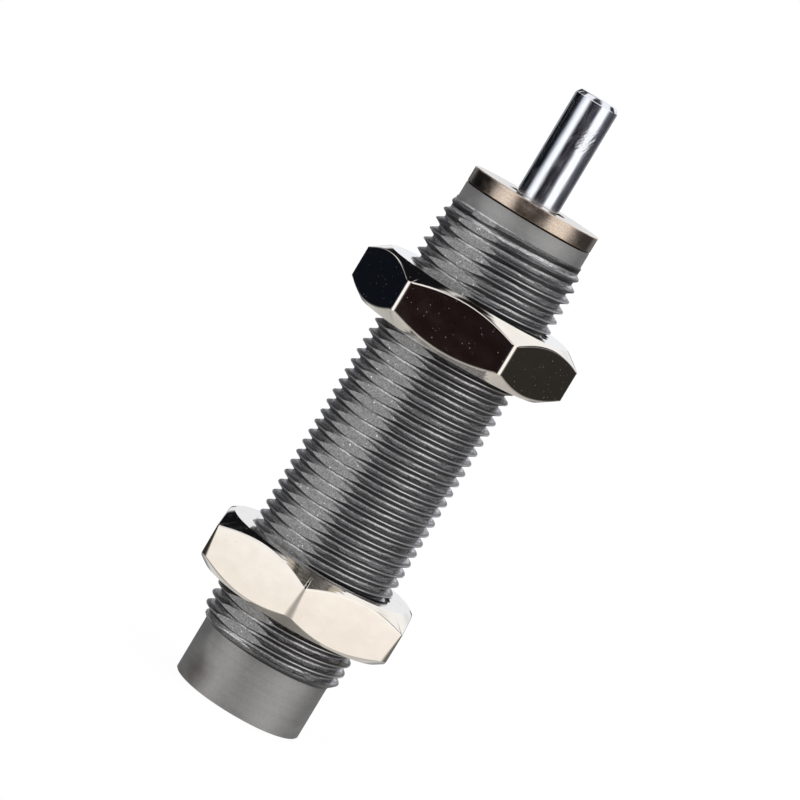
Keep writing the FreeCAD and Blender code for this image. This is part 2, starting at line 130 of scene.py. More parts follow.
# studio
# A light tent: a bright strip on each side of the camera, dark between and outside them, a pale table
# below and a white roof. Azimuth in degrees from the camera's side of the object, + to the right.
studio = {
    # from the lowest band up: each blends over the one before it, between the two elevations given
    "bands": [
        {
            "around": [
                (-180, "#c8c8c8"), (-166, "#c4c4c3"), (-148, "#8a8988"), (-110, "#4f4d4b"),
                (-86, "#8a8784"), (-66, "#f2efeb"), (-41, "#f2efeb"), (-22, "#8c8987"), (0, "#5c5957"),
                (22, "#8a8886"), (43, "#f2efeb"), (73, "#f2efeb"), (98, "#a5a3a0"), (140, "#a09e9b"),
                (166, "#b5b4b3"), (180, "#c8c8c8"),
            ],
        },
        {
            "blend": (-27, -19),
            "around": [
                (-180, "#8f8f90"), (-166, "#6f6e6e"), (-150, "#474645"), (-125, "#242323"),
                (-100, "#2c2a29"), (-84, "#6a6664"), (-71, "#eae6e1"), (-41, "#ece8e3"), (-24, "#bdbab7"),
                (-8, "#a19e9b"), (8, "#9d9b98"), (24, "#b2b0ad"), (41, "#ebe6e1"), (78, "#ebe6e1"),
                (92, "#aaa8a5"), (108, "#6b6965"), (130, "#5f5e5a"), (150, "#6a6967"), (166, "#838281"),
                (180, "#8f8f90"),
            ],
        },
        {
            "blend": (-10.5, -7.0),
            "around": [
                (-180, "#6a6c70"), (-165, "#3c3e42"), (-150, "#1b1d21"), (-127, "#0b0f16"),
                (-100, "#101217"), (-86, "#16171a"), (-78, "#505155"), (-66, "#f6f7f9"), (-42, "#f8f9fb"),
                (-26, "#4c4846"), (-13, "#1c1010"), (2, "#150f10"), (16, "#1b1b1e"), (27, "#4c4c50"),
                (38, "#f4f4f4"), (67, "#fbf8f4"), (76, "#989591"), (86, "#4c4a48"), (100, "#2f2d2a"),
                (120, "#292725"), (136, "#2d2b29"), (147, "#6c6a68"), (180, "#6a6c70"),
            ],
        },
        {
            "blend": (-3.3, -2.6),
            "around": [
                (-180, "#4a4c51"), (-160, "#5c5f65"), (-149, "#9a9da3"), (-143, "#80838a"),
                (-137, "#26282c"), (-130, "#0a0b0e"), (-116, "#08090b"), (-97, "#0c0d11"),
                (-82, "#24262b"), (-71, "#888b92"), (-61, "#dcdfe4"), (-50, "#ffffff"), (-36, "#ffffff"),
                (-29, "#9c9ea4"), (-22, "#28272c"), (-12, "#29262c"), (-2, "#37343c"), (10, "#302e35"),
                (20, "#3a3740"), (28, "#77757b"), (35, "#f4f4f6"), (40, "#ffffff"), (72, "#fdfdff"),
                (80, "#9c9ca2"), (90, "#5a5a60"), (104, "#44444a"), (134, "#3c3c41"), (143, "#6e6e74"),
                (154, "#84858a"), (180, "#4a4c51"),
            ],
        },
    ],
    "roof": {"colour": "#ededee", "blend": (9, 22)},
    "table": {"colour": "#bcbab6", "blend": (-45, -60)},
    # what the flat top faces see: the white sweep behind, "aside" in cosines off straight behind
    "sweep": {"colour": "#dbdde2", "blend": (0.2, 1.2), "aside": (0.8, 0.95)},
    # a near black flag overhead, two black ones high up behind on the left, a dark one on each side,
    # and the dark camera side above the lens
    "flags": [
        {"colour": "#100c0a", "azimuth": 180, "elevation": 85, "reach": 12.5, "soft": 2.5},
        {"colour": "#101114", "azimuth": -157, "elevation": 28, "reach": 16.5, "soft": 4},
        {"colour": "#101114", "azimuth": -144, "elevation": 53, "reach": 17, "soft": 4},
        {"colour": "#26262b", "azimuth": -115, "elevation": 36, "reach": 16, "soft": 4},
        {"colour": "#26262b", "azimuth": 120, "elevation": 33, "reach": 16, "soft": 4},
        {"colour": "#2c2b30", "azimuth": 0, "elevation": 66, "reach": 17, "soft": 4},
    ],
    "strength": 1.3,
    "background": 1.0,
}


def skyHeight(degrees):
    return math.sin(math.radians(degrees))


def buildStudio(spec):
    world = bpy.data.worlds.new("lightTent")
    world.use_nodes = True
    tree = world.node_tree
    tree.nodes.clear()
    direction = addNode(tree, "TexCoord").outputs["Generated"]
    axes = addNode(tree, "SeparateXYZ", {"Vector": direction})
    up = axes.outputs["Z"]
    towards = addNode(tree, "Math", {0: axes.outputs["Y"], 1: -1.0}, operation="MULTIPLY")
    azimuth = addNode(tree, "Math", {0: axes.outputs["X"], 1: towards.outputs[0]}, operation="ARCTAN2")
    share = addNode(
        tree, "MapRange", {"Value": azimuth.outputs[0], "From Min": -math.pi, "From Max": math.pi}
    )
    # each layer has its colour, and the values and limits that fade it in over the layers before it
    layers = []
    for band in spec["bands"]:
        ramp = addNode(tree, "ValToRGB", {"Fac": share.outputs["Result"]})
        fillRamp(ramp, [((angle + 180) / 360, colour) for angle, colour in band["around"]])
        limits = [skyHeight(angle) for angle in band.get("blend", ())]
        layers.append((ramp.outputs["Color"], [(up, limits)]))
    for part in ("roof", "table"):
        limits = [skyHeight(angle) for angle in spec[part]["blend"]]
        layers.append((linear(spec[part]["colour"]), [(up, limits)]))
    sweep = spec["sweep"]
    limits = [skyHeight(angle) for angle in sweep["blend"]]
    layers.append((linear(sweep["colour"]), [(up, limits), (axes.outputs["Y"], sweep["aside"])]))
    for flag in spec["flags"]:
        turn = math.radians(flag["azimuth"])
        lift = math.radians(flag["elevation"])
        centre = (math.sin(turn) * math.cos(lift), -math.cos(turn) * math.cos(lift), math.sin(lift))
        nearness = addNode(tree, "VectorMath", {0: direction, 1: centre}, operation="DOT_PRODUCT")
        limits = [math.cos(math.radians(flag["reach"] + side * flag["soft"])) for side in (1, -1)]
        layers.append((linear(flag["colour"]), [(nearness.outputs["Value"], limits)]))
    seen = layers[0][0]
    for colour, fades in layers[1:]:
        amount = 1.0
        for value, (start, end) in fades:
            fade = addNode(
                tree,
                "MapRange",
                {"Value": value, "From Min": start, "From Max": end},
                interpolation_type="SMOOTHSTEP",
            )
            amount = addNode(
                tree, "Math", {0: fade.outputs["Result"], 1: amount}, operation="MULTIPLY"
            ).outputs[0]
        seen = addNode(tree, "Mix", {0: amount, 6: seen, 7: colour}, data_type="RGBA").outputs[2]
    tent = addNode(tree, "Background", {"Color": seen, "Strength": spec["strength"]})
    white = addNode(tree, "Background", {"Color": (1.0, 1.0, 1.0, 1.0), "Strength": spec["background"]})
    ray = addNode(tree, "LightPath")
    direct = addNode(
        tree,
        "Math",
        {0: ray.outputs["Is Camera Ray"], 1: ray.outputs["Is Transmission Ray"]},
        operation="MAXIMUM",
    )
    both = addNode(tree, "MixShader", {0: direct.outputs[0], 1: tent.outputs[0], 2: white.outputs[0]})
    addNode(tree, "OutputWorld", {"Surface": both.outputs[0]})
    bpy.context.scene.world = world


buildStudio(studio)

floorSpec = {
    "half": 3000,
    "drop": 0.1,  # just under the rear face
    "glow": 0.93,  # pale floor as the camera sees it
    "shade": 0.12,  # share that takes the soft shadow
    "paint": 0.8,  # pale floor as the light sees it
}


def buildFloor(spec):
    half = spec["half"] * mm
    low = -spec["drop"] * mm
    mesh = bpy.data.meshes.new("studioFloor")
    corners = [(-half, -half, low), (half, -half, low), (half, half, low), (-half, half, low)]
    mesh.from_pydata(corners, [], [(0, 1, 2, 3)])
    floor = bpy.data.objects.new("studioFloor", mesh)
    bpy.context.scene.collection.objects.link(floor)
    material, tree = newMaterial("paintedFloor")
    glow = addNode(tree, "Emission", {"Color": (1, 1, 1, 1), "Strength": spec["glow"]})
    shade = addNode(tree, "BsdfDiffuse", {"Color": (spec["shade"],) * 3 + (1,)})
    seen = addNode(tree, "AddShader", {0: glow.outputs[0], 1: shade.outputs[0]})
    paint = addNode(tree, "BsdfDiffuse", {"Color": (spec["paint"],) * 3 + (1,)})
    ray = addNode(tree, "LightPath")
    both = addNode(
        tree, "MixShader", {0: ray.outputs["Is Camera Ray"], 1: paint.outputs[0], 2: seen.outputs[0]}
    )
    finish(tree, both)
    mesh.materials.append(material)
    floor.visible_glossy = False  # the metal sees the tent all round, also from below


buildFloor(floorSpec)
print("studio lit")


# finishes
def scaleFor(size):  # texture scale for marks this many millimetres wide
    return 1000 / size


def fromAxis(tree, spot):  # how far each point lies from the part's axis
    flat = addNode(tree, "VectorMath", {0: spot, 1: (1.0, 1.0, 0.0)}, operation="MULTIPLY")
    radius = addNode(tree, "VectorMath", {0: flat.outputs[0]}, operation="LENGTH")
    return radius.outputs["Value"]


# tool marks that run along the thread, and the light and shade painted across each pitch
def threadMarks(tree, spot, cloud, spec):
    pitch = spec["pitch"] * mm
    axes = addNode(tree, "SeparateXYZ", {"Vector": spot})
    turn = addNode(tree, "Math", {0: axes.outputs["Y"], 1: axes.outputs["X"]}, operation="ARCTAN2")
    rise = addNode(
        tree,
        "Math",
        {0: turn.outputs[0], 1: -pitch / (2 * math.pi), 2: axes.outputs["Z"]},
        operation="MULTIPLY_ADD",
    )
    fromFirst = addNode(tree, "Math", {0: rise.outputs[0], 1: spec["crestAt"] * mm}, operation="SUBTRACT")
    aboveCrest = addNode(tree, "Math", {0: fromFirst.outputs[0], 1: pitch, 2: 0.0}, operation="WRAP")
    share = addNode(tree, "Math", {0: aboveCrest.outputs[0], 1: pitch}, operation="DIVIDE")
    across = addNode(tree, "ValToRGB", {"Fac": share.outputs[0]})
    fillRamp(across, spec["pitchLightAndShade"])
    waver = addNode(tree, "Math", {0: cloud, 1: spec["waver"]}, operation="MULTIPLY")
    drift = addNode(
        tree,
        "Math",
        {0: aboveCrest.outputs[0], 1: scaleFor(spec["ringMm"]), 2: waver.outputs[0]},
        operation="MULTIPLY_ADD",
    )
    marks = addNode(
        tree, "TexNoise", {"W": drift.outputs[0], "Scale": 1.0, "Detail": 2.0}, noise_dimensions="1D"
    )
    return marks.outputs["Fac"], across.outputs["Color"]


def workedMetal(name, spec):
    material, tree = newMaterial(name)
    spot = addNode(tree, "TexCoord").outputs["Object"]
    cloud = addNode(
        tree,
        "TexNoise",
        {"Vector": spot, "Scale": scaleFor(spec["cloudMm"]), "Detail": 3.0, "Roughness": 0.6},
    ).outputs["Fac"]
    grain = addNode(
        tree, "TexNoise", {"Vector": spot, "Scale": scaleFor(spec["grainMm"]), "Detail": 2.0}
    ).outputs["Fac"]
    tone = addNode(
        tree, "Mix", {0: cloud, 6: linear(spec["dark"]), 7: linear(spec["light"])}, data_type="RGBA"
    ).outputs[2]
    if spec.get("pitch"):
        marks, across = threadMarks(tree, spot, cloud, spec)
        # the thread's tone is multiplied by the light and shade painted across each pitch
        tone = addNode(tree, "VectorMath", {0: tone, 1: across}, operation="MULTIPLY").outputs[0]
    else:
        roundScale = 30  # a ring hardly changes on its way round
        rings = addNode(
            tree, "Mapping", {"Vector": spot, "Scale": (roundScale, roundScale, scaleFor(spec["ringMm"]))}
        )
        marks = addNode(
            tree, "TexNoise", {"Vector": rings.outputs[0], "Scale": 1.0, "Detail": 3.0}
        ).outputs["Fac"]
    # most of a noise's values lie between 0.35 and 0.65
    for pattern, depth in ((grain, spec["grainDepth"]), (marks, spec["ringDepth"])):
        level = addNode(
            tree,
            "MapRange",
            {
                "Value": pattern,
                "From Min": 0.35,
                "From Max": 0.65,
                "To Min": 1 - depth,
                "To Max": 1 + depth,
            },
        )
        tone = addNode(
            tree, "VectorMath", {0: tone, "Scale": level.outputs["Result"]}, operation="SCALE"
        ).outputs[0]
    roughness = addNode(
        tree,
        "MapRange",
        {
            "Value": cloud,
            "From Min": 0.3,
            "From Max": 0.7,
            "To Min": spec["roughness"] - spec["roughnessPlay"],
            "To Max": spec["roughness"] + spec["roughnessPlay"],
        },
    ).outputs["Result"]
    patches = []  # what lies over the metal: its share at each point, and its colour
    if spec.get("stain"):  # one darker, warmer patch where it was handled
        stain = spec["stain"]
        centre = tuple(size * mm for size in stain["at"])
        away = addNode(tree, "VectorMath", {0: spot, 1: centre}, operation="DISTANCE")
        ragged = addNode(
            tree,
            "Math",
            {0: cloud, 1: stain["raggedMm"] * mm, 2: away.outputs["Value"]},
            operation="MULTIPLY_ADD",
        )
        share = addNode(
            tree,
            "MapRange",
            {
                "Value": ragged.outputs[0],
                "From Min": stain["fadeMm"][0] * mm,
                "From Max": stain["fadeMm"][1] * mm,
                "To Min": stain["strength"],
                "To Max": 0.0,
            },
            interpolation_type="SMOOTHSTEP",
        )
        patches.append((share.outputs["Result"], stain["colour"]))
    if spec.get("paintedGlints"):  # white spots painted as glints, standing in for small burrs and scratches that catch the light
        paintedGlints = spec["paintedGlints"]
        glintNoise = addNode(
            tree, "TexNoise", {"Vector": spot, "Scale": scaleFor(paintedGlints["sizeMm"]), "Detail": 1.0}
        )
        bright = addNode(
            tree,
            "MapRange",
            {"Value": glintNoise.outputs["Fac"], "From Min": paintedGlints["fade"][0], "From Max": paintedGlints["fade"][1]},
        )
        patches.append((bright.outputs["Result"], paintedGlints["colour"]))
    if spec.get("worn"):  # the crests are rubbed bright
        worn = spec["worn"]
        play = worn["playMm"] * mm
        uneven = addNode(
            tree, "Math", {0: grain, 1: play, 2: fromAxis(tree, spot)}, operation="MULTIPLY_ADD"
        )
        rubbed = addNode(
            tree,
            "MapRange",
            {
                "Value": uneven.outputs[0],
                "From Min": worn["fadeMm"][0] * mm + play / 2,
                "From Max": worn["fadeMm"][1] * mm + play / 2,
            },
        ).outputs["Result"]
        patches.append((rubbed, worn["colour"]))
        roughness = addNode(
            tree, "Mix", {0: rubbed, 2: roughness, 3: worn["roughness"]}, data_type="FLOAT"
        ).outputs[0]
    for share, colour in patches:
        tone = addNode(tree, "Mix", {0: share, 6: tone, 7: linear(colour)}, data_type="RGBA").outputs[2]
    relief = addNode(tree, "Math", {0: marks, 1: grain}, operation="ADD")
    bump = addNode(
        tree, "Bump", {"Height": relief.outputs[0], "Strength": 1.0, "Distance": spec["reliefMm"] * mm}
    )
    metal = addNode(
        tree,
        "BsdfPrincipled",
        {
            "Base Color": tone,
            "Metallic": spec["metallic"],
            "Roughness": roughness,
            "Normal": bump.outputs["Normal"],
        },
    )
    finish(tree, metal)
    return material


def platedMetal(name, spec):
    material, tree = newMaterial(name)
    place = addNode(tree, "TexCoord")
    spot = place.outputs["Object"]
    waves = []
    for steps, detail in ((spec["rippleMm"], 1.0), (spec["streakMm"], 4.0)):
        stretched = addNode(
            tree, "Mapping", {"Vector": spot, "Scale": tuple(scaleFor(step) for step in steps)}
        )
        wave = addNode(tree, "TexNoise", {"Vector": stretched.outputs[0], "Scale": 1.0, "Detail": detail})
        waves.append(wave.outputs["Fac"])
    ripple, streak = waves
    tone = addNode(
        tree, "Mix", {0: streak, 6: linear(spec["dark"]), 7: linear(spec["light"])}, data_type="RGBA"
    )
    # some cells of a pattern hold a pit, each of its own size
    pits = addNode(tree, "TexVoronoi", {"Vector": spot, "Scale": scaleFor(spec["pitStepMm"])})
    pitSeed = addNode(tree, "SeparateXYZ", {"Vector": pits.outputs["Color"]})
    pitReach = addNode(
        tree,
        "MapRange",
        {
            "Value": pitSeed.outputs["X"],
            "From Min": 1 - spec["pitShare"],
            "From Max": 1.0,
            "To Min": 0.0,
            "To Max": spec["pitMm"] / spec["pitStepMm"],
        },
    )
    pit = addNode(
        tree, "Math", {0: pits.outputs["Distance"], 1: pitReach.outputs["Result"]}, operation="LESS_THAN"
    )
    smooth = addNode(
        tree,
        "MapRange",
        {
            "Value": streak,
            "From Min": 0.35,
            "From Max": 0.7,
            "To Min": spec["roughness"],
            "To Max": spec["roughness"] + spec["roughnessPlay"],
        },
    )
    pitRoughness = 0.6
    roughness = addNode(
        tree, "Mix", {0: pit.outputs[0], 2: smooth.outputs["Result"], 3: pitRoughness}, data_type="FLOAT"
    )
    metallic = 1.0
    if spec.get("film"):  # a thin dull film from handling
        film = addNode(
            tree,
            "MapRange",
            {
                "Value": streak,
                "From Min": 0.4,
                "From Max": 0.65,
                "To Min": 1.0,
                "To Max": 1 - spec["film"],
            },
        )
        metallic = film.outputs["Result"]
    reliefs = [(ripple, 1.0, spec["rippleHighMm"])]  # pattern, strength and height in millimetres
    if spec.get("wiped"):  # a patch of fine slanting scratches
        wiped = spec["wiped"]
        centre = tuple(size * mm for size in wiped["at"])
        away = addNode(tree, "VectorMath", {0: spot, 1: centre}, operation="DISTANCE")
        share = addNode(
            tree,
            "MapRange",
            {
                "Value": away.outputs["Value"],
                "From Min": wiped["fadeMm"][0] * mm,
                "From Max": wiped["fadeMm"][1] * mm,
                "To Min": 1.0,
                "To Max": 0.0,
            },
            interpolation_type="SMOOTHSTEP",
        )
        slanted = addNode(
            tree,
            "Mapping",
            {
                "Vector": spot,
                "Rotation": (0.0, math.radians(wiped["slant"]), 0.0),
                "Scale": tuple(size * mm for size in wiped["stepMm"]),
            },
            vector_type="TEXTURE",
        )
        scratches = addNode(tree, "TexNoise", {"Vector": slanted.outputs[0], "Scale": 1.0, "Detail": 2.0})
        reliefs.append((scratches.outputs["Fac"], share.outputs["Result"], wiped["highMm"]))
    if spec.get("facingMm"):  # rings from the facing tool, on the ends and chamfers only
        wander = addNode(
            tree,
            "Math",
            {0: fromAxis(tree, spot), 1: scaleFor(spec["facingMm"]), 2: streak},
            operation="MULTIPLY_ADD",
        )
        rings = addNode(
            tree, "TexNoise", {"W": wander.outputs[0], "Scale": 1.0, "Detail": 2.0}, noise_dimensions="1D"
        )
        axes = addNode(tree, "SeparateXYZ", {"Vector": place.outputs["Normal"]})
        slope = addNode(tree, "Math", {0: axes.outputs["Z"]}, operation="ABSOLUTE")
        turned = addNode(tree, "MapRange", {"Value": slope.outputs[0], "From Min": 0.6, "From Max": 0.75})
        reliefs.append((rings.outputs["Fac"], turned.outputs["Result"], spec["facingHighMm"]))
    under = {}
    for pattern, strength, high in reliefs:
        bump = addNode(
            tree, "Bump", {"Height": pattern, "Strength": strength, "Distance": high * mm, **under}
        )
        under = {"Normal": bump.outputs["Normal"]}
    plating = addNode(
        tree,
        "BsdfPrincipled",
        {"Base Color": tone.outputs[2], "Metallic": metallic, "Roughness": roughness.outputs[0], **under},
    )
    finish(tree, plating)
    return material


def mouldedRubber(name, spec):
    material, tree = newMaterial(name)
    spot = addNode(tree, "TexCoord").outputs["Object"]
    grain = addNode(
        tree, "TexNoise", {"Vector": spot, "Scale": scaleFor(spec["grainMm"]), "Detail": 3.0}
    ).outputs["Fac"]
    tone = addNode(
        tree, "Mix", {0: grain, 6: linear(spec["dark"]), 7: linear(spec["light"])}, data_type="RGBA"
    )
    roughness = addNode(
        tree,
        "MapRange",
        {
            "Value": grain,
            "To Min": spec["roughness"] - spec["roughnessPlay"],
            "To Max": spec["roughness"] + spec["roughnessPlay"],
        },
    )
    bump = addNode(tree, "Bump", {"Height": grain, "Strength": 1.0, "Distance": spec["reliefMm"] * mm})
    rubber = addNode(
        tree,
        "BsdfPrincipled",
        {
            "Base Color": tone.outputs[2],
            "Roughness": roughness.outputs["Result"],
            "IOR": spec["ior"],
            "Normal": bump.outputs["Normal"],
        },
    )
    finish(tree, rubber)
    return material


def cellFoam(name, spec):
    material, tree = newMaterial(name)
    spot = addNode(tree, "TexCoord").outputs["Object"]
    cells = addNode(tree, "TexVoronoi", {"Vector": spot, "Scale": scaleFor(spec["cellMm"])})
    wall = addNode(
        tree, "MapRange", {"Value": cells.outputs["Distance"], "From Max": 0.8}
    ).outputs["Result"]
    tone = addNode(
        tree, "Mix", {0: wall, 6: linear(spec["dark"]), 7: linear(spec["light"])}, data_type="RGBA"
    )
    bump = addNode(tree, "Bump", {"Height": wall, "Strength": 1.0, "Distance": spec["reliefMm"] * mm})
    foam = addNode(
        tree,
        "BsdfPrincipled",
        {
            "Base Color": tone.outputs[2],
            "Roughness": spec["roughness"],
            "IOR": spec["ior"],
            "Normal": bump.outputs["Normal"],
        },
    )
    finish(tree, foam)
    return material


workedMetals = {
    # carbon steel with a thin grey phosphate coat: dull flanks with tool marks, crests rubbed brighter
    "phosphatedThread": {
        "dark": "#cdcdd0", "light": "#e4e4e6", "metallic": 0.85, "roughness": 0.42, "roughnessPlay": 0.06,
        "pitch": 1.5, "crestAt": 1.02,
        # share of the pitch above a crest, with light and shade painted across it: flanks facing up
        # painted light, flanks facing down painted dark as shade, a light band at the root
        "pitchLightAndShade": [
            (0.0, "#848484"), (0.08, "#8c8c8c"), (0.15, "#a0a0a0"), (0.21, "#e0e0e0"), (0.28, "#ffffff"),
            (0.33, "#f4f4f4"), (0.38, "#c8c8c8"), (0.44, "#cecece"), (0.48, "#dadada"), (0.53, "#dadada"),
            (0.58, "#989898"), (0.64, "#686868"), (0.72, "#505050"), (0.84, "#525252"), (0.92, "#646464"),
            (1.0, "#848484"),
        ],
        "ringMm": 0.28,  # real marks are nearer 0.05, drawn about as wide as two pixels
        "ringDepth": 0.65, "waver": 4.5, "cloudMm": 4.0, "grainMm": 0.18, "grainDepth": 0.3,
        "reliefMm": 0.01,
        "worn": {"fadeMm": (9.93, 9.99), "playMm": 0.1, "colour": "#d2d2d4", "roughness": 0.28},
    },
    # same coat on the turned ends: duller and more even, fine rings left by the tool
    "phosphatedEnds": {
        "dark": "#959492", "light": "#b4b4b4", "metallic": 0.6, "roughness": 0.5, "roughnessPlay": 0.08,
        "ringMm": 0.35, "ringDepth": 0.04, "cloudMm": 3.5, "grainMm": 0.25, "grainDepth": 0.05,
        "reliefMm": 0.005,
        "stain": {
            "at": (-6.4, -6.3, 2.2), "fadeMm": (0.9, 4.4), "raggedMm": 2.0, "strength": 0.75,
            "colour": "#6d675e",
        },
    },
    # the flat is milled after threading and coated: lighter, grainy, with painted glints for bright burrs
    "phosphatedFlat": {
        "dark": "#8f8f90", "light": "#a9a9a9", "metallic": 0.7, "roughness": 0.5, "roughnessPlay": 0.05,
        "ringMm": 0.5, "ringDepth": 0.05, "cloudMm": 2.0, "grainMm": 0.2, "grainDepth": 0.3,
        "reliefMm": 0.01,
        "paintedGlints": {"sizeMm": 0.35, "fade": (0.7, 0.76), "colour": "#ffffff"},
    },
    # ground carbon steel of the hydraulic parts: fine and fairly bright
    "groundSteel": {
        "dark": "#b9babd", "light": "#cdced1", "metallic": 1.0, "roughness": 0.24, "roughnessPlay": 0.05,
        "ringMm": 0.15, "ringDepth": 0.03, "cloudMm": 3.0, "grainMm": 0.15, "grainDepth": 0.04,
        "reliefMm": 0.004,
    },
    # hardened spring wire, drawn and a little oily: dark grey with a soft shine
    "drawnSpringWire": {
        "dark": "#7f8186", "light": "#a5a7ab", "metallic": 1.0, "roughness": 0.3, "roughnessPlay": 0.06,
        "ringMm": 0.4, "ringDepth": 0.03, "cloudMm": 1.5, "grainMm": 0.15, "grainDepth": 0.06,
        "reliefMm": 0.003,
    },
    # turned bronze of the stopper, tumbled: brown gold with a soft shine and fine pores
    "tumbledBronze": {
        "dark": "#b8a594", "light": "#dccdbd", "metallic": 1.0, "roughness": 0.22, "roughnessPlay": 0.06,
        "ringMm": 0.16, "ringDepth": 0.05, "cloudMm": 1.4, "grainMm": 0.14, "grainDepth": 0.14,
        "reliefMm": 0.004,
    },
    # its faced front: same bronze, cut flat and finer, so it throws the light back almost white
    "facedBronze": {
        "dark": "#d0c4b8", "light": "#e6dccf", "metallic": 1.0, "roughness": 0.2, "roughnessPlay": 0.03,
        "ringMm": 0.3, "ringDepth": 0.02, "cloudMm": 2.0, "grainMm": 0.2, "grainDepth": 0.03,
        "reliefMm": 0.001,
    },
    # metal painted nearly black as shade, in the stopper's mouth and in the joint under it
    "paintedShadeMetal": {
        "dark": "#2b2522", "light": "#463b33", "metallic": 0.8, "roughness": 0.35, "roughnessPlay": 0.05,
        "ringMm": 0.2, "ringDepth": 0.05, "cloudMm": 1.0, "grainMm": 0.15, "grainDepth": 0.1,
        "reliefMm": 0.003,
    },
    # leaded bronze of the rod bearing, bored and turned
    "bearingBronze": {
        "dark": "#b48a5c", "light": "#cfa878", "metallic": 1.0, "roughness": 0.3, "roughnessPlay": 0.05,
        "ringMm": 0.15, "ringDepth": 0.04, "cloudMm": 2.5, "grainMm": 0.16, "grainDepth": 0.06,
        "reliefMm": 0.005,
    },
    # free-cutting bronze of the seal holder, turned
    "holderBronze": {
        "dark": "#bb9a62", "light": "#d3b57f", "metallic": 1.0, "roughness": 0.3, "roughnessPlay": 0.05,
        "ringMm": 0.18, "ringDepth": 0.04, "cloudMm": 2.5, "grainMm": 0.16, "grainDepth": 0.05,
        "reliefMm": 0.005,
    },
    # black oxide on the hardened set screw: near black with a low sheen
    "blackOxide": {
        "dark": "#26262a", "light": "#3a3a3f", "metallic": 0.8, "roughness": 0.38, "roughnessPlay": 0.06,
        "ringMm": 0.3, "ringDepth": 0.03, "cloudMm": 0.8, "grainMm": 0.12, "grainDepth": 0.1,
        "reliefMm": 0.004,
    },
}

platings = {
    # bright nickel on the nuts: warm mirror with a faint ripple and a few pits
    "brightNickel": {
        "dark": "#e0dad1", "light": "#f0ebe4", "roughness": 0.06, "roughnessPlay": 0.03,
        "streakMm": (2.4, 2.4, 1.6), "rippleMm": (1.6, 1.6, 1.6), "rippleHighMm": 0.0025,
        "pitStepMm": 0.36, "pitMm": 0.05, "pitShare": 0.6,
        "facingMm": 0.45,  # real rings are finer, drawn about three pixels wide
        "facingHighMm": 0.012,
    },
    # hard chrome on the ground rod: cool mirror with faint handling marks
    "hardChrome": {
        "dark": "#dcdfe6", "light": "#eceef2", "roughness": 0.05, "roughnessPlay": 0.16,
        "streakMm": (0.5, 0.5, 2.2), "film": 0.05, "rippleMm": (0.5, 0.5, 2.5), "rippleHighMm": 0.012,
        "pitStepMm": 0.8, "pitMm": 0.06, "pitShare": 0.2,
        # scratches drawn wider than real ones, about two pixels apart
        "wiped": {
            "at": (1.45, -2.62, 84.0), "fadeMm": (0.75, 2.5), "slant": 35, "stepMm": (0.26, 0.26, 1.1),
            "highMm": 0.08,
        },
    },
    # hardened chrome steel ball
    "ballSteel": {
        "dark": "#d3d4d6", "light": "#e2e3e5", "roughness": 0.06, "roughnessPlay": 0.03,
        "streakMm": (0.5, 0.5, 0.5), "rippleMm": (0.5, 0.5, 0.5), "rippleHighMm": 0.0005,
        "pitStepMm": 1.0, "pitMm": 0.03, "pitShare": 0.1,
    },
}

rubbers = {
    # nitrile rubber, moulded: black with a dull skin
    "nitrileRubber": {
        "dark": "#141416", "light": "#232326", "grainMm": 0.12, "roughness": 0.55, "roughnessPlay": 0.08,
        "ior": 1.52, "reliefMm": 0.006,
    },
}

foams = {
    # closed-cell nitrile foam: charcoal, with small round cells
    "closedCellFoam": {
        "dark": "#202124", "light": "#3c3d42", "cellMm": 0.35, "roughness": 0.9, "ior": 1.5,
        "reliefMm": 0.08,
    },
}

finishes = {}
for mix, recipes in (
    (workedMetal, workedMetals), (platedMetal, platings), (mouldedRubber, rubbers), (cellFoam, foams)
):
    finishes.update({name: mix(name, spec) for name, spec in recipes.items()})
print("finishes mixed")


# shared mesh making
mergeWithin = 0.0000008  # metres


def makePiece(name, points, faces, slots, faceSlots=None, sharpFrom=25):
    mesh = bpy.data.meshes.new(name)
    mesh.from_pydata([(x * mm, y * mm, z * mm) for x, y, z in points], [], faces)
    for finishName in slots:
        mesh.materials.append(finishes[finishName])
    if faceSlots:
        mesh.polygons.foreach_set("material_index", faceSlots)
    work = bmesh.new()
    work.from_mesh(mesh)
    bmesh.ops.remove_doubles(work, verts=work.verts, dist=mergeWithin)
    loose = [v for v in work.verts if not v.link_faces]
    bmesh.ops.delete(work, geom=loose, context="VERTS")
    bmesh.ops.recalc_face_normals(work, faces=work.faces)
    work.to_mesh(mesh)
    work.free()
    mesh.shade_smooth()
    mesh.set_sharp_from_angle(angle=math.radians(sharpFrom))
    piece = bpy.data.objects.new(name, mesh)
    bpy.context.scene.collection.objects.link(piece)
    return piece


def evenShade(piece, keepSharp):
    even = piece.modifiers.new("evenShade", "WEIGHTED_NORMAL")
    even.weight = 100
    even.keep_sharp = keepSharp


def softenEdges(piece, width):
    bevel = piece.modifiers.new("softEdges", "BEVEL")
    bevel.width = width * mm
    bevel.segments = 2
    bevel.limit_method = "ANGLE"
    bevel.angle_limit = math.radians(24)  # the gentle slopes stay as they are
    bevel.harden_normals = False
    evenShade(piece, False)


# quads between rings of points that lie one after another
def joinRings(ringCount, perRing, closed):
    faces = []
    for ring in range(ringCount if closed else ringCount - 1):
        here = ring * perRing
        there = (ring + 1) % ringCount * perRing
        for step in range(perRing):
            beside = (step + 1) % perRing
            faces.append((here + step, here + beside, there + beside, there + step))
    return faces


def turnOutline(outline, columns):
    points = []
    for radius, height in outline:
        for step in range(columns):
            angle = 2 * math.pi * step / columns
            points.append((radius * math.cos(angle), radius * math.sin(angle), height))
    return points, joinRings(len(outline), columns, closed=outline[0][0] > 0)


# drops a face with no width, and the doubled corner of a face that narrows to a point
def dropFlatFaces(faces, points):
    kept = []
    for face in faces:
        corners = []
        for index in face:
            spot = tuple(round(c, 6) for c in points[index])
            if spot not in [c[0] for c in corners]:
                corners.append((spot, index))
        if len(corners) > 2:
            kept.append(tuple(index for spot, index in corners))
    return kept


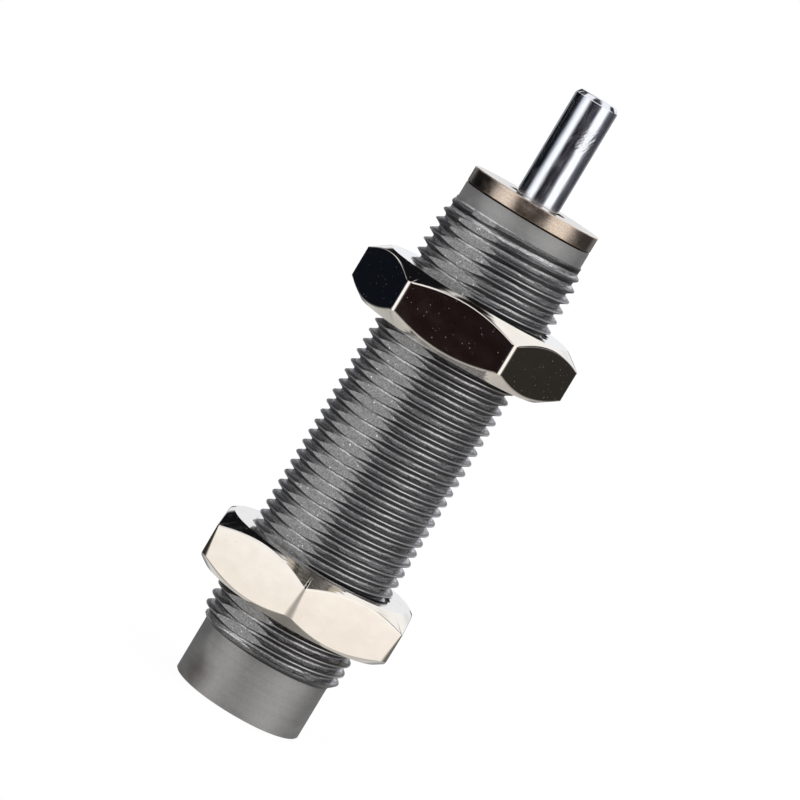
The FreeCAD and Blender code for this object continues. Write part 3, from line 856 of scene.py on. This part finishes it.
def turnedPiece(name, finishName, outline, spec):
    points, faces = turnOutline(outline, spec["columns"])
    faces = dropFlatFaces(faces, points)
    names = [finishName]
    faceSlots = [0] * len(faces)
    for otherName, (lowR, highR, lowZ, highZ) in spec.get("others", ()):
        if otherName not in names:
            names.append(otherName)
        for number, face in enumerate(faces):
            spots = [points[index] for index in face]
            radii = [math.hypot(x, y) for x, y, z in spots]
            inside = all(lowR <= r <= highR for r in radii)
            if inside and all(lowZ <= z <= highZ for x, y, z in spots):
                faceSlots[number] = names.index(otherName)
    piece = makePiece(name, points, faces, names, faceSlots)
    if spec.get("edge"):
        softenEdges(piece, spec["edge"])
    return piece


# outer tube
tubeShape = {
    "threadR": 10.0,
    "pitch": 1.5,
    "depth": 0.9201,
    "crest": 0.12,  # flat left on each crest
    "crestRound": 0.03,  # rubbed corner of the crest
    "landRound": 0.004,  # the milled lands keep their sharp edge
    "cornerRun": 0.6,  # how far that corner runs in over the crest, as a share of its height
    "leastTooth": 0.02,  # ridge that is left where the flat cuts deepest
    "flank": 30,  # degrees between a flank and the plane across the axis
    "spareTeeth": (3, 2),  # beyond the thread's two ends, where they are trimmed
    "threadStart": 7.7,
    "threadEnd": 70.0,
    "leadIn": [(65.9, 10.0), (68.3, 9.64), (70.0, 9.0799)],  # height, crest radius
    "leadSink": 0.6,  # share of that loss by which the first threads sink whole
    "crestAt": 1.02,  # height of a crest at +X, less whole pitches
    "flatReach": 9.08,  # axis to the milled flat
    "flatTurn": 240.5,
    "columns": 150,
    "flankRows": 2,
    "jointFrom": 72.1,  # the joint under the stopper, painted dark as shade, starts at this height
    # rest of the tube: (radius, height), from the thread's front round to its rear
    "outline": [
        (8.95, 70.0), (8.95, 72.11), (8.86, 72.2), (7.6, 72.2), (7.6, 6.0), (6.42, 6.0), (6.42, 5.0),
        (0.6, 5.0), (0.6, 4.742), (1.02, 4.322), (1.02, 2.9), (2.02, 2.9), (2.02, 0.2), (2.22, 0.0),
        (8.83, 0.0), (8.95, 0.12), (8.95, 7.7),
    ],
}


def tubeAngles(spec):
    half = math.degrees(math.acos(spec["flatReach"] / spec["threadR"]))
    angles = [360 * step / spec["columns"] for step in range(spec["columns"])]
    edges = [(spec["flatTurn"] + side * half) % 360 for side in (-1, 1)]
    spread = 360 / spec["columns"]
    tooNear = 0.3 * spread  # of the flat's edges, which get columns of their own
    kept = [a for a in angles if all(abs(a - e) > tooNear for e in edges)]
    return sorted(kept + edges)


def flatLimit(spec, angle):
    away = math.radians((angle - spec["flatTurn"] + 180) % 360 - 180)
    if abs(away) > math.radians(60):  # well away from the flat
        return spec["threadR"]
    return min(spec["threadR"], spec["flatReach"] / math.cos(away))


def threadRows(spec, limit):
    slope = math.tan(math.radians(spec["flank"]))
    root = spec["threadR"] - spec["depth"]
    top = max(limit, root + spec["leastTooth"])
    milled = limit < spec["threadR"]
    soft = spec["landRound"] if milled else spec["crestRound"]
    foot = spec["crest"] / 2 + spec["depth"] * slope
    shoulder = spec["crest"] / 2 + (spec["threadR"] - top + soft) * slope
    rows = []
    steps = spec["flankRows"] + 1
    for step in range(steps + 1):
        share = step / steps
        rows.append((-(foot + (shoulder - foot) * share), root + (top - soft - root) * share))
    rows.append((-(shoulder - soft * (slope + spec["cornerRun"])), top))
    return rows + [(-offset, radius) for offset, radius in reversed(rows)]


def leadLimit(spec, height):
    if height < spec["leadIn"][0][0]:
        return spec["threadR"]
    for (lowZ, lowR), (highZ, highR) in zip(spec["leadIn"], spec["leadIn"][1:]):
        if height <= highZ:
            return lowR + (highR - lowR) * (height - lowZ) / (highZ - lowZ)


def buildTube(spec):
    root = spec["threadR"] - spec["depth"]
    angles = tubeAngles(spec)
    count = len(angles)
    perPitch = len(threadRows(spec, spec["threadR"]))
    firstTooth = int((spec["threadStart"] - spec["crestAt"]) / spec["pitch"]) - spec["spareTeeth"][0]
    lastTooth = int((spec["threadEnd"] - spec["crestAt"]) / spec["pitch"]) + spec["spareTeeth"][1]
    teeth = range(firstTooth, lastTooth + 1)
    rowCount = perPitch * len(teeth)
    points = []
    cutByFlat = []
    trace = 0.002  # a difference in radius too small to count
    for angle in angles:
        limit = flatLimit(spec, angle)
        turn = math.radians(angle)
        for tooth in teeth:
            middle = spec["crestAt"] + spec["pitch"] * (tooth + angle / 360)
            lost = spec["threadR"] - leadLimit(spec, min(middle, spec["threadEnd"]))
            sink = spec["leadSink"] * lost
            for offset, radius in threadRows(spec, min(spec["threadR"], limit + sink)):
                height = min(max(middle + offset, spec["threadStart"]), spec["threadEnd"])
                fromRear = root + height - spec["threadStart"]
                reach = min(max(radius - sink, root), fromRear, leadLimit(spec, height))
                points.append((reach * math.cos(turn), reach * math.sin(turn), height))
                cutByFlat.append(reach > limit - trace)
    faces = []
    faceSlots = []
    for column in range(count):
        beside = (column + 1) % count
        lift = perPitch if beside == 0 else 0
        onFlat = min(flatLimit(spec, angles[column]), flatLimit(spec, angles[beside]))
        milled = onFlat < spec["threadR"] - trace / 2
        for row in range(rowCount - 1 - lift):
            a = column * rowCount + row
            b = beside * rowCount + row + lift
            face = (a, b, b + 1, a + 1)
            spots = {tuple(round(c, 4) for c in points[index]) for index in face}
            if len(spots) < 3:
                continue
            faces.append(face)
            land = row % perPitch == perPitch // 2 - 1
            faceSlots.append(2 if milled and land and cutByFlat[a] and cutByFlat[b] else 0)
    # turned ends, bore and rear wall, on the same columns
    start = len(points)
    outline = [(root, spec["threadEnd"])] + spec["outline"] + [(root, spec["threadStart"])]
    for angle in angles:
        turn = math.radians(angle)
        for radius, height in outline:
            points.append((radius * math.cos(turn), radius * math.sin(turn), height))
    size = len(outline)
    for column in range(count):
        beside = (column + 1) % count
        for row in range(size - 1):
            a = start + column * size + row
            b = start + beside * size + row
            faces.append((a, b, b + 1, a + 1))
            # faces in the joint under the stopper get the painted shade
            inJoint = min(outline[row][1], outline[row + 1][1]) > spec["jointFrom"]
            faceSlots.append(3 if inJoint else 1)
    tube = makePiece(
        "threadedTube",
        points,
        faces,
        ["phosphatedThread", "phosphatedEnds", "phosphatedFlat", "paintedShadeMetal"],
        faceSlots,
        sharpFrom=35,
    )
    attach(tube, "tube")
    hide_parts("outer_tube")
    return tube


tube = buildTube(tubeShape)
print("tube threaded:", len(tube.data.polygons), "faces")

# lock nuts
nutShape = {
    "flats": 27.0,
    "height": 7.6,
    "ring": 12.93,  # flat ring on each face
    "bevel": 35.0,
    "bore": 10.06,
    "countersink": 0.2,
    "edge": 0.17,  # soft rim round each flat
    "cornerEdge": 0.034,  # the same at the upright corners
    "faceSteps": 14,
    "cornerSteps": 6,
}
# "corners" rounds the upright corners, at the bottom and at the top
nutPlaces = {
    "frontNut": {"body": "front_nut", "low": 52.7, "turn": 56.35, "corners": (1.1, 1.1)},
    "rearNut": {"body": "rear_nut", "low": 13.8, "turn": 30.0, "corners": (2.0, 0.5)},
}


# spots round the nut, each with 1 on a flat and 0 on a corner
def hexOutline(spec, turn, rounding):
    sixth = 60  # degrees from one corner to the next
    half = spec["flats"] / 2
    reach = (half - rounding) * math.tan(math.radians(sixth / 2))
    middle = (half - rounding) / math.cos(math.radians(sixth / 2))
    spots = []
    for side in range(6):
        facing = math.radians(turn + sixth * (side + 0.5))
        for step in range(spec["faceSteps"] + 1):
            along = reach * (2 * step / spec["faceSteps"] - 1)
            spots.append((
                half * math.cos(facing) - along * math.sin(facing),
                half * math.sin(facing) + along * math.cos(facing),
                1,
            ))
        corner = math.radians(turn + sixth * (side + 1))
        for step in range(1, spec["cornerSteps"]):
            swing = corner + math.radians(sixth * (step / spec["cornerSteps"] - 0.5))
            spots.append((
                middle * math.cos(corner) + rounding * math.cos(swing),
                middle * math.sin(corner) + rounding * math.sin(swing),
                0,
            ))
    return spots


# small round between the wall and the chamfer above it
def softRim(radius, height, rim, slope):
    over = (radius - rim * math.cos(slope), height + rim * math.sin(slope))
    under = (radius, height - rim)
    between = ((under[0] + over[0] + 2 * radius) / 4, (under[1] + over[1] + 2 * height) / 4)
    return [under, between, over]


def buildNut(name, place, spec):
    low = place["low"]
    high = low + spec["height"]
    slope = math.radians(spec["bevel"])
    lowSpots = hexOutline(spec, place["turn"], place["corners"][0])
    highSpots = hexOutline(spec, place["turn"], place["corners"][1])
    rings = []
    for (lowX, lowY, flat), (highX, highY, flat) in zip(lowSpots, highSpots):
        rim = spec["edge"] if flat else spec["cornerEdge"]
        lowR = math.hypot(lowX, lowY)
        highR = math.hypot(highX, highY)
        lowFall = max(0.0, lowR - spec["ring"]) * math.tan(slope)
        highFall = max(0.0, highR - spec["ring"]) * math.tan(slope)
        lowRim = softRim(lowR, -low - lowFall, rim, slope)
        highRim = softRim(highR, high - highFall, rim, slope)
        lowReach = [
            (spec["bore"], low + spec["countersink"]),
            (spec["bore"] + spec["countersink"], low),
            (spec["ring"], low),
        ]
        lowReach += [(r, -z) for r, z in reversed(lowRim)]
        highReach = highRim + [
            (spec["ring"], high),
            (spec["bore"] + spec["countersink"], high),
            (spec["bore"], high - spec["countersink"]),
        ]
        lowRing = [(lowX / lowR * r, lowY / lowR * r, z) for r, z in lowReach]
        highRing = [(highX / highR * r, highY / highR * r, z) for r, z in highReach]
        rings.append(lowRing + highRing)
    points = [spot for ring in rings for spot in ring]
    faces = joinRings(len(rings), len(rings[0]), closed=True)
    nut = makePiece(name, points, faces, ["brightNickel"], sharpFrom=32)
    evenShade(nut, True)
    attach(nut, place["body"])
    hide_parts(place["body"])


for nutName, nutPlace in nutPlaces.items():
    buildNut(nutName, nutPlace, nutShape)
print("nuts made")

# rod, stopper and seals
rodShape = {
    "outline": [
        (0.0, 29.75), (2.1, 29.75), (2.25, 29.9), (2.25, 30.4), (1.85, 30.4), (1.85, 31.4), (2.25, 31.4),
        (2.25, 42.6), (3.0, 42.6), (3.0, 88.85), (2.56, 89.45), (0.0, 89.45),
    ],
    "columns": 128,
    "edge": 0.07,
}
stopperShape = {
    "outline": [
        (3.25, 64.44), (5.38, 64.44), (5.38, 67.2), (7.58, 67.2), (7.58, 72.2), (8.8, 72.2),
        (8.95, 72.36), (8.95, 74.3), (8.85, 74.4), (4.1, 74.4), (4.0, 74.3), (4.0, 70.7), (3.25, 70.7),
    ],
    "columns": 160,
    "edge": 0.05,
    # finish of a stretch, its least and greatest radius, its least and greatest height
    "others": [
        ("facedBronze", (3.95, 8.9, 74.25, 74.45)),
        # the mouth and the joint under the stopper get the painted shade
        ("paintedShadeMetal", (3.2, 4.05, 60.0, 74.35)),
        ("paintedShadeMetal", (8.75, 9.0, 72.1, 72.4)),
    ],
}
scraperShape = {
    "outline": [
        (3.04, 70.72), (3.98, 70.72), (3.98, 72.0), (3.9, 72.22), (3.55, 72.25), (3.4, 72.5), (3.1, 73.1),
        (3.04, 73.1),
    ],
    "columns": 96,
    "edge": 0.05,
}
foamShape = {
    "inner": 4.69,
    "outer": 7.45,
    "low": 50.55,
    "high": 58.25,
    "round": 0.7,
    "cornerSteps": 4,
    "columns": 96,
}
gasketShape = {"width": 1.06, "depth": 0.88, "steps": 20, "columns": 72}


def buildRod(spec):
    rod = turnedPiece("chromedRod", "hardChrome", spec["outline"], spec)
    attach(rod, "rod")
    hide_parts("piston_rod")


def buildStopper(spec):
    stopper = turnedPiece("stopperRing", "tumbledBronze", spec["outline"], spec)
    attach(stopper, "tube")
    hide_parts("stopper")


def buildScraper(spec):
    scraper = turnedPiece("rodScraper", "nitrileRubber", spec["outline"], spec)
    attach(scraper, "tube")
    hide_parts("scraper")


def buildFoam(spec):
    outline = []
    corners = [
        (spec["inner"], spec["low"], 180, 270),
        (spec["outer"], spec["low"], 270, 360),
        (spec["outer"], spec["high"], 0, 90),
        (spec["inner"], spec["high"], 90, 180),
    ]
    for radius, height, begin, end in corners:
        inward = 1 if radius == spec["inner"] else -1
        upward = 1 if height == spec["low"] else -1
        for step in range(spec["cornerSteps"] + 1):
            swing = math.radians(begin + (end - begin) * step / spec["cornerSteps"])
            outline.append((
                radius + inward * spec["round"] + spec["round"] * math.cos(swing),
                height + upward * spec["round"] + spec["round"] * math.sin(swing),
            ))
    foam = turnedPiece("foamSleeve", "closedCellFoam", outline, spec)
    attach(foam, "tube")
    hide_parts("accumulator_foam")


def buildGasket(name, node, spec):
    low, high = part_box(node)
    outer = high[0] / mm
    middle = (low[2] + high[2]) / 2 / mm
    outline = []
    for step in range(spec["steps"]):
        swing = 2 * math.pi * step / spec["steps"]
        outline.append((
            outer - spec["depth"] / 2 * (1 - math.cos(swing)),
            middle + spec["width"] / 2 * math.sin(swing),
        ))
    gasket = turnedPiece(name, "nitrileRubber", outline, spec)
    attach(gasket, "tube")
    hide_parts(node)


buildRod(rodShape)
buildStopper(stopperShape)
buildScraper(scraperShape)
buildFoam(foamShape)
buildGasket("bearingGasket", "bearing_gasket", gasketShape)
buildGasket("holderGasket", "holder_gasket", gasketShape)
print("rod, stopper and seals made")

# return spring
springShape = {
    "coilR": 4.15,
    "wireR": 0.45,
    "low": 5.11,
    "high": 33.79,
    "turns": 7.5,
    "closedTurns": 0.8,  # each end lies flat on its seat
    "perTurn": 40,
    "aroundWire": 12,
    "seat": 5.0,
    "keep": 13.9 / 28.9,  # length with the rod right in
}


def buildSpring(spec):
    bottom = spec["low"] + spec["wireR"]
    top = spec["high"] - spec["wireR"]
    closed = spec["closedTurns"]
    rise = 2 * spec["wireR"] * closed
    freeTurns = spec["turns"] - 2 * closed
    steps = int(spec["turns"] * spec["perTurn"])
    points = []
    for step in range(steps + 1):
        turn = spec["turns"] * step / steps
        if turn < closed:
            height = bottom + rise * turn / closed
        elif turn > spec["turns"] - closed:
            height = top - rise * (spec["turns"] - turn) / closed
        else:
            height = bottom + rise + (top - bottom - 2 * rise) * (turn - closed) / freeTurns
        angle = 2 * math.pi * turn
        for side in range(spec["aroundWire"]):
            swing = 2 * math.pi * side / spec["aroundWire"]
            reach = spec["coilR"] + spec["wireR"] * math.cos(swing)
            points.append((
                reach * math.cos(angle), reach * math.sin(angle), height + spec["wireR"] * math.sin(swing)
            ))
    around = spec["aroundWire"]
    faces = joinRings(steps + 1, around, closed=False)
    faces.append(tuple(range(around)))
    faces.append(tuple(steps * around + side for side in range(around)))
    spring = makePiece("returnSpring", points, faces, ["drawnSpringWire"], sharpFrom=40)
    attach(spring, "tube")
    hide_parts("return_spring")
    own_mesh(spring)


buildSpring(springShape)
print("spring wound")

# CAD pieces that stay
carriedOver = {
    "inner_tube": "groundSteel",
    "piston": "groundSteel",
    "piston_ring": "groundSteel",
    "spring_guide": "groundSteel",
    "lock_ring": "drawnSpringWire",
    "rod_bearing": "bearingBronze",
    "seal_holder": "holderBronze",
    "rod_seal": "nitrileRubber",
    "fill_ball": "ballSteel",
    "fill_screw": "blackOxide",
}
for nodeName, finishName in carriedOver.items():
    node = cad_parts[nodeName]
    if node.material_slots:
        for materialSlot in node.material_slots:
            materialSlot.material = finishes[finishName]
    else:
        node.data.materials.append(finishes[finishName])
print("inner parts finished")

scene = bpy.context.scene
scene.view_settings.view_transform = "Standard"
